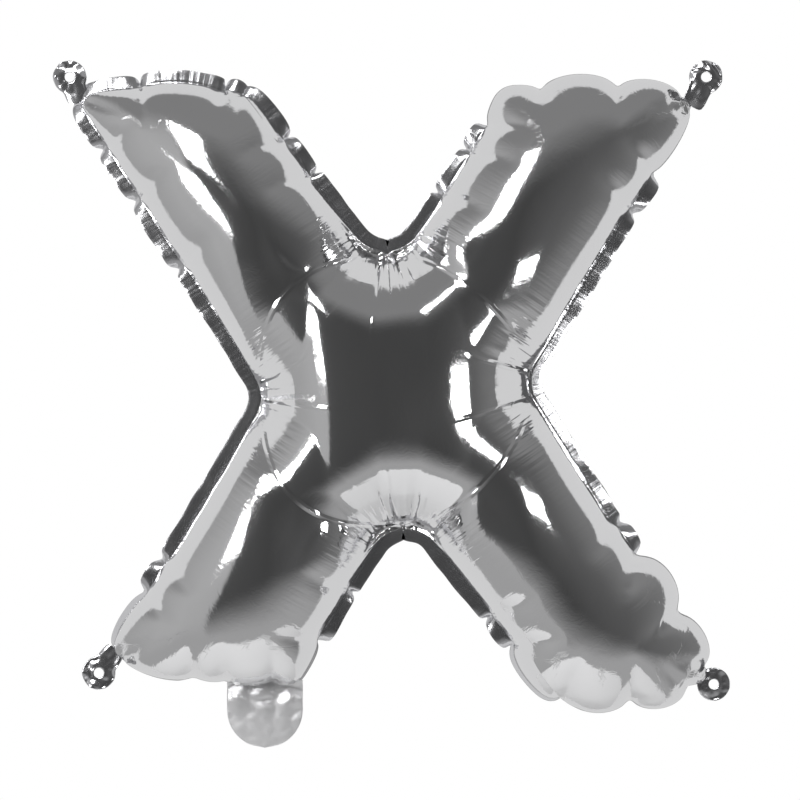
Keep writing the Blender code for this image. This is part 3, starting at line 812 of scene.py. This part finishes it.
class Finish:
    """A new material's nodes: its surface, its place and seam coordinates, and the height of its relief."""

    def __init__(self, name, metallic):
        self.material = bpy.data.materials.new(name)
        self.material.use_nodes = True
        self.tree = self.material.node_tree
        self.surface = self.tree.nodes["Principled BSDF"]
        self.surface.inputs["Metallic"].default_value = metallic
        self.place = put(self.tree, "ShaderNodeTexCoord").outputs["Object"]
        self.height = None

    def map(self, layer):
        """The coordinates that one of the piece's maps holds."""
        return put(self.tree, "ShaderNodeUVMap", uv_map=layer).outputs["UV"]

    def tone(self, values):
        """Gives the surface its colour and roughness."""
        tone = put(self.tree, "ShaderNodeGroup", {"Vector": self.place, **values}, node_tree=foil_tone())
        for label, target in (("Color", "Base Color"), ("Roughness", "Roughness")):
            self.tree.links.new(tone.outputs[label], self.surface.inputs[target])

    def raise_by(self, group, inputs):
        """Adds a group's height to the relief."""
        height = put(self.tree, "ShaderNodeGroup", inputs, node_tree=group).outputs["Height"]
        self.height = height if self.height is None else math_node(self.tree, "ADD", self.height, height)

    def bump(self, distance):
        """Gives the surface its relief, that distance high for a height of 1."""
        relief = put(self.tree, "ShaderNodeBump", {"Strength": 1.0, "Distance": distance, "Height": self.height})
        self.tree.links.new(relief.outputs["Normal"], self.surface.inputs["Normal"])


def foil_material(name, color, values, metallic=1.0, folds=False):
    """Metallised film: toned metal with dents, creases and the weld's puckers, and pleats and folds if asked."""
    if name in bpy.data.materials:
        return bpy.data.materials[name]
    finish = Finish(name, metallic)
    seam = finish.map("along_seam")
    finish.tone({"Color": color, **values["tone"]})
    finish.raise_by(foil_wrinkles(), {"Vector": finish.place, **values["wrinkles"]})
    finish.raise_by(seam_puckers(), {"Seam": seam, **values["puckers"]})
    if folds:
        ring, fold = finish.map("off_ring"), finish.map("off_fold")
        strength = put(finish.tree, "ShaderNodeSeparateXYZ", {0: ring}).outputs[1]
        finish.raise_by(long_pleats(), {"Seam": seam, "Strength": strength})
        finish.raise_by(film_folds(), {"Vector": finish.place, "Ring": ring, "Fold": fold})
    finish.bump(FILM_BUMP)
    return finish.material


def film_material():
    given = settings().finish
    values = {**MIRROR_FILM, "tone": {**MIRROR_FILM["tone"], "Roughness": given.roughness}}
    return foil_material("mirror film", given.film, values, folds=True)


def weld_material():
    return foil_material("welded film", settings().finish.weld, WELDED_FILM)


def tail_material():
    return foil_material("satin film", settings().finish.tail, SATIN_FILM, metallic=SATIN_METALLIC)


def valve_material():
    """Milky plastic film with soft wrinkles."""
    name = "milky valve film"
    if name in bpy.data.materials:
        return bpy.data.materials[name]
    finish = Finish(name, 0.0)
    finish.tone({"Color": settings().finish.valve, "Roughness": VALVE_ROUGHNESS})
    finish.raise_by(foil_wrinkles(), {"Vector": finish.place})
    finish.bump(VALVE_BUMP)
    return finish.material


# Pieces

def sheet_piece(name, points, faces, maps, material, nodes):
    """A smooth mesh piece with its maps, riding on the body in place of its nodes."""
    used, index = np.unique(np.array(faces).ravel(), return_inverse=True)
    quads = index.reshape(-1, len(faces[0]))
    mesh = bpy.data.meshes.new(name)
    mesh.from_pydata(points[used].tolist(), [], quads.tolist())
    for label, places in maps.items():
        layer = mesh.uv_layers.new(name=label)
        layer.data.foreach_set("uv", places.astype(np.float32).ravel())
    mesh.shade_smooth()
    mesh.materials.append(material)
    piece = bpy.data.objects.new(name, mesh)
    bpy.context.scene.collection.objects.link(piece)
    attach(piece, BODY)
    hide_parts(*nodes)
    return piece


def refine(piece):
    """Halves the piece's cells."""
    modifier = piece.modifiers.new("Smooth", "SUBSURF")
    modifier.levels = modifier.render_levels = 1
    modifier.boundary_smooth = "PRESERVE_CORNERS"


def thicken(piece, thickness):
    """Makes the piece that thick, with flat faces shaded as flat."""
    modifier = piece.modifiers.new("Thickness", "SOLIDIFY")
    modifier.thickness = thickness
    modifier.offset = 0.0
    piece.modifiers.new("Normals", "WEIGHTED_NORMAL").weight = 100


class FOIL_OT_envelope(bpy.types.Operator):
    """Blow up the two films, and make them and the welded margin"""

    bl_idname = "foil_balloon.envelope"
    bl_label = "Films and Welded Margin"

    def execute(self, context):
        given = settings()
        outline = Outline(given.outline)
        cells = given.film.cells
        envelope = Envelope(outline, given.film, cells)
        hub = np.array(given.outline.hub)
        self.skins(given.outline, given.film, outline, envelope, hub)
        self.margin(given.weld, outline, envelope, hub)
        return {"FINISHED"}

    def skins(self, sizes, film, outline, envelope, hub):
        """The two films, creased and dented, with the maps that place their pleats and folds."""
        plan = envelope.plan
        depth = blown_up(envelope, outline, film, sizes.notch_radius, sizes.twist)
        hold = smooth(depth / FULL_DEPTH)
        depth = depth - hold * ring_creases(plan, outline, film, sizes.twist)
        depth = depth - hold * pinch_creases(plan, outline, film)
        ring = outside_ring(plan, outline, film, sizes.twist)
        places = {
            "along_seam": along_seam(plan, outline),
            "off_ring": np.stack([ring, pleat_strength(plan, outline, film)], 1),
            "off_fold": np.stack(off_folds(plan, film), 1),
        }
        for name, facing in (("front_film", -1), ("back_film", 1)):
            dented = depth + hold * film.dent_depth * dents(plan, film.dent_size, SEEDS[name])
            points = np.stack([plan[:, 0], facing * dented, plan[:, 1]], 1) + hub
            faces = envelope.faces if facing < 0 else envelope.faces[:, ::-1]
            maps = {label: place[faces] for label, place in places.items()}
            skin = sheet_piece(f"{name}_skin", points, faces, maps, film_material(), [name])
            refine(skin)

    def margin(self, weld, outline, envelope, hub):
        """The welded margin, one strip all round."""
        seam = envelope.plan[envelope.loop]
        run = run_of(np.concatenate([seam, seam[:1]]))
        rows, count = weld.rows, len(seam)
        lie, width = margin_lie(envelope, weld, seam, run)
        tangent = np.roll(seam, -1, 0) - np.roll(seam, 1, 0)
        outward = np.stack([-tangent[:, 1], tangent[:, 0]], 1)
        outward /= np.linalg.norm(outward, axis=1)[:, None]
        fold = (1 - lie) * weld.fold
        ripple = weld.ripple * dents(along_run(run), weld.ripple_length, SEEDS["ripple"])
        ripple *= smooth(off_notches(seam, outline) / weld.calm_reach - CALM_HOLD)
        points = []
        for row in range(rows + 1):
            reach = width * row / rows
            place = seam + outward * (reach * np.cos(fold))[:, None]
            depth = reach * np.sin(fold) + ripple * row / rows
            points.append(np.stack([place[:, 0], depth, place[:, 1]], 1))
        points = np.concatenate(points) + hub
        ring = np.arange((rows + 1) * count).reshape(rows + 1, count)
        after = np.roll(ring, -1, 1)
        quads = np.stack([ring[:-1], ring[1:], after[1:], after[:-1]], -1)
        off = np.linspace(0, -weld.width, rows + 1)
        corners = []
        for along, shift in ((run[:-1], 0), (run[:-1], 1), (run[1:], 1), (run[1:], 0)):
            spread = np.broadcast_to(along, (rows, count))
            away = np.broadcast_to(off[shift: rows + shift, None], spread.shape)
            corners.append(np.stack([spread, away], -1))
        nodes = [f"seam_{arm}_{part}" for arm in ARMS for part in ("outer", "inner", "end")]
        maps = {"along_seam": np.stack(corners, 2).reshape(-1, 4, 2)}
        faces = quads.reshape(-1, 4)
        margin = sheet_piece("welded_margin", points, faces, maps, weld_material(), nodes)
        refine(margin)
        thicken(margin, weld.thickness)


# Share of its calm reach beside each notch over which the margin has no ripples at all
CALM_HOLD = 0.5


def along_run(run):
    """Places on a straight line, one for each step of the run, to take dents from."""
    return np.stack([run[:-1], 0 * run[:-1]], 1)


def margin_lie(envelope, weld, seam, run):
    """How flat the margin lies at each point of the seam, and how wide it is there."""
    lie = np.ones(len(seam))
    for arm in ARMS:
        part = np.flatnonzero(envelope.owner == arm)
        places, along = seam[part], run[part]
        marks = [int(np.argmin(np.linalg.norm(places - pinch[:2], axis=1))) for pinch in PINCHES[arm]]
        for pinch, start, stop in zip(PINCHES[arm], marks, marks[1:]):
            stretch = part[start: stop + 1]
            left = along[start: stop + 1] - along[start]
            right = along[stop] - along[start: stop + 1]
            rise = np.minimum(np.minimum(left, right) / weld.pinch_reach, 1)
            shown = weld.pinch_width + (1 - weld.pinch_width) * np.sqrt(rise * (2 - rise))
            lie[stretch] = pinch[3] * shown
    uneven = weld.unevenness * dents(along_run(run), weld.uneven_length, SEEDS["width"])
    return lie, weld.width * (1 + uneven)


# Points of the plan whose nearest weld is looked for at a time
BATCH = 2000


def along_seam(plan, outline):
    """For each point of the plan, how far along the seam the nearest weld is, and how far off."""
    first, step, run = [], [], []
    travelled = 0.0
    for arm in ARMS:
        curve = outline.whole[arm]
        first.append(curve[:-1])
        step.append(np.diff(curve, axis=0))
        run.append(travelled + run_of(curve)[:-1])
        travelled += run_of(curve)[-1]
    first, step, run = (np.concatenate(part) for part in (first, step, run))
    length = np.linalg.norm(step, axis=1)
    result = np.empty((len(plan), 2))
    for start in range(0, len(plan), BATCH):
        part = plan[start: start + BATCH]
        gaps = np.linalg.norm(part[:, None] - first[None], axis=2)
        nearest = np.argmin(gaps, 1)
        best = np.full(len(part), 1.0)
        for choice in (nearest, nearest - 1):
            share = np.sum((part - first[choice]) * step[choice], 1) / length[choice] ** 2
            share = np.clip(share, 0, 1)
            off = np.linalg.norm(part - first[choice] - step[choice] * share[:, None], axis=1)
            nearer = off < best
            best[nearer] = off[nearer]
            result[start: start + BATCH, 0][nearer] = (run[choice] + share * length[choice])[nearer]
        result[start: start + BATCH, 1] = best
    return result


def tab_places(sizes, outline):
    """Each tab's hole and the arm tip that carries it, as plan places in the world."""
    hub = np.array(outline.hub)[[0, 2]]
    holes = {
        "upper_left": np.array([-0.5 * sizes.span, 0.0]),
        "upper_right": np.array([0.5 * sizes.span, 0.0]),
        "lower_right": hub + np.array(sizes.lower_right_hole),
        "lower_left": hub + np.array(sizes.lower_left_hole),
    }
    tips = {arm: hub + np.array(getattr(outline, f"{arm}_tip")) for arm in ARMS}
    return holes, tips


# The large and the small facets of crumpled film: how fine they are, where in the noise they are taken from,
# and their share of its height
CRUMPLES = ((1.0, (0.0, 0.0, 0.0), 0.7), (2.3, (7.0, 3.0, 1.0), 0.3))


def crumple(place, scale, seed):
    """Height of film creased into facets, between about -1 and 0.5."""
    spot = Vector((place[0] / scale, place[1] / scale, seed))
    height = 0.0
    for finer, shift, share in CRUMPLES:
        height += share * (1 - 2 * abs(noise.noise(finer * spot + Vector(shift))))
    return height - 0.5


class FOIL_OT_tabs(bpy.types.Operator):
    """Make the crumpled tabs with their punched holes"""

    bl_idname = "foil_balloon.tabs"
    bl_label = "Hanging Tabs"

    rings = 7
    spokes = 40

    def leaf(self, sizes, hole, root, seed):
        """Points of one tab, in rings from its hole out to its edge, with its neck towards the arm's tip."""
        toward = unit(root - hole)
        across = np.array([-toward[1], toward[0]])
        length = np.linalg.norm(root - hole) + sizes.overlap
        points = []
        for ring in range(self.rings):
            share = ring / (self.rings - 1)
            for spoke in range(self.spokes):
                angle = 2 * math.pi * spoke / self.spokes
                ahead, aside = math.cos(angle), math.sin(angle)
                reach = sizes.head_radius
                if ahead > 0:
                    reach = max(reach, min(length / ahead, sizes.neck_half / max(abs(aside), TINY)))
                radius = sizes.hole_radius + (reach - sizes.hole_radius) * share
                place = hole + radius * (ahead * toward + aside * across)
                curl = sizes.curl * share * crumple(place, sizes.crease_size, seed)
                points.append((place[0], curl, place[1]))
        return np.array(points)

    def faces(self):
        """The faces of one tab, in the order of its points."""
        quads = []
        for ring in range(self.rings - 1):
            for spoke in range(self.spokes):
                after = (spoke + 1) % self.spokes
                low, high = ring * self.spokes, (ring + 1) * self.spokes
                quads.append((low + spoke, high + spoke, high + after, low + after))
        return quads

    def execute(self, context):
        given = settings()
        holes, tips = tab_places(given.tabs, given.outline)
        for order, arm in enumerate(ARMS):
            points = self.leaf(given.tabs, holes[arm], tips[arm], SEEDS["tabs"] + order)
            nodes = [f"hanging_tab_{arm}"]
            tab = sheet_piece(f"tab_{arm}", points, self.faces(), {}, weld_material(), nodes)
            refine(tab)
            thicken(tab, given.weld.thickness)
        return {"FINISHED"}


class FOIL_OT_neck(bpy.types.Operator):
    """Make the filling neck's two films and the valve sleeve between them"""

    bl_idname = "foil_balloon.neck"
    bl_label = "Filling Neck"

    columns = 28
    rows = 30

    def leaf(self, sizes, hub, facing, half_width, length):
        """Points of one film of the neck, from its root down to its round end, -1 for the front one."""
        points = []
        top = hub + np.array(sizes.top)
        for row in range(self.rows + 1):
            down = row / self.rows
            left = max(0.0, 1 - down) * length
            round_end = min(1.0, left / half_width)
            half = half_width * math.sqrt(max(0.0, 1 - (1 - round_end) ** 2))
            for column in range(self.columns + 1):
                across = 2 * column / self.columns - 1
                place = top + np.array([across * half, -down * length])
                handled = sizes.calm_share + math.exp(-((down * length / sizes.crease_reach) ** 2))
                crease = sizes.crease_depth * handled * crumple(place, sizes.crease_size, SEEDS["neck"])
                gap = sizes.gap * (1 - across ** 2) + sizes.edge_gap
                points.append((place[0], facing * gap + crease, place[1]))
        return np.array(points)

    def faces(self):
        """The faces of one film, in the order of its points."""
        quads = []
        for row in range(self.rows):
            for column in range(self.columns):
                corner = row * (self.columns + 1) + column
                quads.append((corner, corner + self.columns + 1, corner + self.columns + 2, corner + 1))
        return quads

    def execute(self, context):
        given = settings()
        sizes = given.neck
        hub = np.array(given.outline.hub)[[0, 2]]
        single = 0.5 * given.weld.thickness
        for name, facing in (("neck_front", -1), ("neck_back", 1)):
            points = self.leaf(sizes, hub, facing, sizes.half_width, sizes.length)
            film = sheet_piece(f"{name}_film", points, self.faces(), {}, tail_material(), [name])
            refine(film)
            thicken(film, single)
        half_width, length = sizes.valve_width * sizes.half_width, sizes.valve_length * sizes.length
        points = self.leaf(sizes, hub, -1, half_width, length)
        points[:, 1] += sizes.gap
        sleeve = sheet_piece("valve_film", points, self.faces(), {}, valve_material(), ["valve_sleeve"])
        refine(sleeve)
        thicken(sleeve, given.weld.thickness)
        return {"FINISHED"}


# Stage

# Tones of the studio's walls, at angles in degrees sideways from the balloon's front
WALL_TONES = (
    (-100, 0.36), (-60, 0.42), (-33, 0.40), (-30, 0.07), (0, 0.055), (40, 0.10), (90, 0.18), (120, 0.2),
)
# Ceiling, ground, light off the floor, backdrop and far wall: each fades in between two angles in degrees, up
# from the horizon or off the balloon's front, and then holds its tone
FADES = (
    ("rise", 15.0, 55.0, 0.22),
    ("rise", -12.0, -48.0, 0.36),
    ("rise", -70.0, -85.0, 0.62),
    ("off_axis", 97.0, 101.0, 0.68),
    ("off_axis", 150.0, 166.0, 0.16),
)
# Each light's angles in degrees sideways and up, its distance, width and height, its power, and whether the
# film mirrors it
LIGHTS = (
    ("left softbox", -41, 8, 0.8, 0.225, 0.17, 1.4, True),
    ("upper softbox", -23, 32, 2.0, 0.56, 0.85, 12, True),
    ("right softbox", 30, 0, 0.31, 0.115, 0.04, 0.12, True),
    ("floor light", -20, 60, 1.5, 1.0, 1.0, 30, False),
)
FLOOR_SIDES = 96
FLOOR_ROUGHNESS = 0.7


def softbox(aim, name, side, rise, distance, width, height, power, mirrored):
    """A rectangular light that faces the balloon from the given angles and hides from the camera."""
    light = bpy.data.lights.new(name, "AREA")
    light.shape = "RECTANGLE"
    light.size, light.size_y = width, height
    light.energy = power
    lamp = bpy.data.objects.new(name, light)
    bpy.context.scene.collection.objects.link(lamp)
    side, rise = math.radians(side), math.radians(rise)
    away = Vector((math.sin(side) * math.cos(rise), -math.cos(side) * math.cos(rise), math.sin(rise)))
    lamp.location = aim + distance * away
    lamp.rotation_mode = "QUATERNION"
    lamp.rotation_quaternion = (-away).to_track_quat("-Z", "Y")
    lamp.visible_camera = False
    lamp.visible_glossy = mirrored


class FOIL_OT_stage(bpy.types.Operator):
    """Make the camera, the lights, the surrounding light and the floor"""

    bl_idname = "foil_balloon.stage"
    bl_label = "Stage"

    def execute(self, context):
        sizes = settings().stage
        scene = bpy.context.scene
        aim = Vector(sizes.aim)
        lens = bpy.data.cameras.new("photo camera")
        lens.lens = sizes.lens
        camera = bpy.data.objects.new("photo camera", lens)
        scene.collection.objects.link(camera)
        camera.location = aim + Vector((0, -sizes.distance, 0))
        camera.rotation_euler = (math.pi / 2, 0, 0)
        scene.camera = camera
        scene.view_settings.view_transform = "Standard"
        for light in LIGHTS:
            softbox(aim, *light)
        self.surround(scene)
        self.floor(sizes)
        return {"FINISHED"}

    def surround(self, scene):
        """Grey studio walls as the film mirrors them, and white paper behind the balloon for the camera."""
        world = bpy.data.worlds.new("studio")
        scene.world = world
        world.use_nodes = True
        tree = world.node_tree
        background = tree.nodes["Background"]
        parts = put(tree, "ShaderNodeSeparateXYZ", {0: put(tree, "ShaderNodeTexCoord").outputs["Generated"]})
        across, deep, up = parts.outputs
        front = math_node(tree, "MULTIPLY", deep, -1.0)
        side = math_node(tree, "DEGREES", math_node(tree, "ARCTAN2", across, front))
        angles = {
            "rise": math_node(tree, "DEGREES", math_node(tree, "ARCSINE", up)),
            "off_axis": math_node(tree, "DEGREES", math_node(tree, "ARCCOSINE", front)),
        }
        walls = put(tree, "ShaderNodeValToRGB", {0: math_node(tree, "MULTIPLY_ADD", side, 1 / 360, 0.5)})
        stops = walls.color_ramp.elements
        for stop, (angle, tone) in zip(stops, WALL_TONES):
            stop.position, stop.color = 0.5 + angle / 360, (tone, tone, tone, 1)
        for angle, tone in WALL_TONES[2:]:
            stops.new(0.5 + angle / 360).color = (tone, tone, tone, 1)
        tone = walls.outputs[0]
        for measure, start, stop, value in FADES:
            share = put(
                tree, "ShaderNodeMapRange", {0: angles[measure], 1: start, 2: stop}, interpolation_type="SMOOTHSTEP",
            )
            mixed = put(tree, "ShaderNodeMix", {"Factor": share.outputs[0]}, data_type="RGBA")
            tree.links.new(tone, mixed.inputs["A"])
            mixed.inputs["B"].default_value = (value, value, value, 1)
            tone = mixed.outputs["Result"]
        tree.links.new(tone, background.inputs["Color"])
        paper = put(tree, "ShaderNodeBackground", {"Color": (1, 1, 1, 1)})
        seen = put(tree, "ShaderNodeLightPath").outputs["Is Camera Ray"]
        mix = put(tree, "ShaderNodeMixShader", {0: seen, 1: background.outputs[0], 2: paper.outputs[0]})
        tree.links.new(mix.outputs[0], tree.nodes["World Output"].inputs["Surface"])

    def floor(self, sizes):
        """A round pale floor below the picture's lower edge."""
        mesh = bpy.data.meshes.new("floor")
        angles = np.linspace(0, 2 * math.pi, FLOOR_SIDES, endpoint=False)
        rim = [(sizes.floor_radius * math.cos(a), sizes.floor_radius * math.sin(a), 0.0) for a in angles]
        mesh.from_pydata(rim, [], [tuple(range(len(rim)))])
        floor = bpy.data.objects.new("floor", mesh)
        floor.location = (sizes.aim[0], 0, -sizes.floor_drop)
        bpy.context.scene.collection.objects.link(floor)
        paint = bpy.data.materials.new("pale floor")
        paint.use_nodes = True
        surface = paint.node_tree.nodes["Principled BSDF"]
        surface.inputs["Base Color"].default_value = sizes.floor
        surface.inputs["Roughness"].default_value = FLOOR_ROUGHNESS
        mesh.materials.append(paint)


class FoilBalloonSettings(bpy.types.PropertyGroup):
    """All of the balloon's settings."""

    outline: PointerProperty(type=OutlineSettings)
    film: PointerProperty(type=FilmSettings)
    weld: PointerProperty(type=WeldSettings)
    tabs: PointerProperty(type=TabSettings)
    neck: PointerProperty(type=NeckSettings)
    finish: PointerProperty(type=FinishSettings)
    stage: PointerProperty(type=StageSettings)


OPERATORS = (FOIL_OT_envelope, FOIL_OT_tabs, FOIL_OT_neck, FOIL_OT_stage)


class FOIL_PT_panel(bpy.types.Panel):
    """Lists the balloon's pieces"""

    bl_idname = "FOIL_PT_panel"
    bl_label = "Foil Balloon"
    bl_space_type = "VIEW_3D"
    bl_region_type = "UI"
    bl_category = "Foil Balloon"

    def draw(self, context):
        for operator in OPERATORS:
            self.layout.operator(operator.bl_idname)


CLASSES = (
    OutlineSettings, FilmSettings, WeldSettings, TabSettings, NeckSettings, FinishSettings,
    StageSettings, FoilBalloonSettings, *OPERATORS, FOIL_PT_panel,
)


def register():
    for kind in CLASSES:
        bpy.utils.register_class(kind)
    bpy.types.Scene.foil_balloon = PointerProperty(type=FoilBalloonSettings)


def unregister():
    del bpy.types.Scene.foil_balloon
    for kind in reversed(CLASSES):
        bpy.utils.unregister_class(kind)


def main():
    register()
    bpy.ops.foil_balloon.envelope()
    bpy.ops.foil_balloon.tabs()
    bpy.ops.foil_balloon.neck()
    bpy.ops.foil_balloon.stage()


if __name__ == "__main__":
    main()
